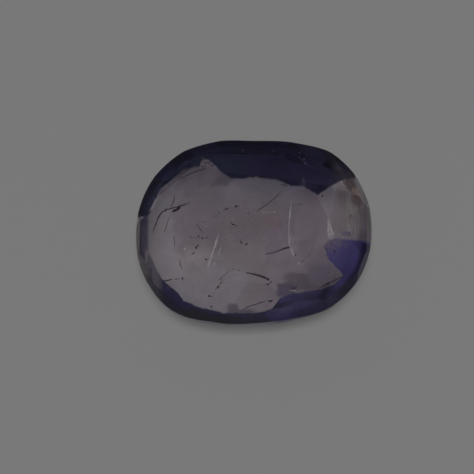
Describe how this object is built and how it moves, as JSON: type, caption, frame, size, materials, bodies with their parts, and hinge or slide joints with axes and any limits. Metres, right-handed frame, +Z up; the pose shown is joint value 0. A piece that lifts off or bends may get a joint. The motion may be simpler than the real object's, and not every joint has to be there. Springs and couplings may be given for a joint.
{
  "type": "faceted iolite gemstone",
  "caption": "Oval cushion-shaped violet gemstone with a broad flat table, a low stepped crown and a bulging pavilion, lying table up on its small flat culet.",
  "frame": {"origin": "on the surface the stone lies on, under the middle of its outline; the flat culet touches that surface", "axes": "+X along the stone's length, +Y across it, +Z up through the table"},
  "size_m": [0.012, 0.0096, 0.0061],
  "materials": {
    "iolite": "polished facets, see-through violet-grey with a darker blue-violet rim"
  },
  "bodies": {
    "root": {"iolite": "iolite"}
  },
  "joints": []
}
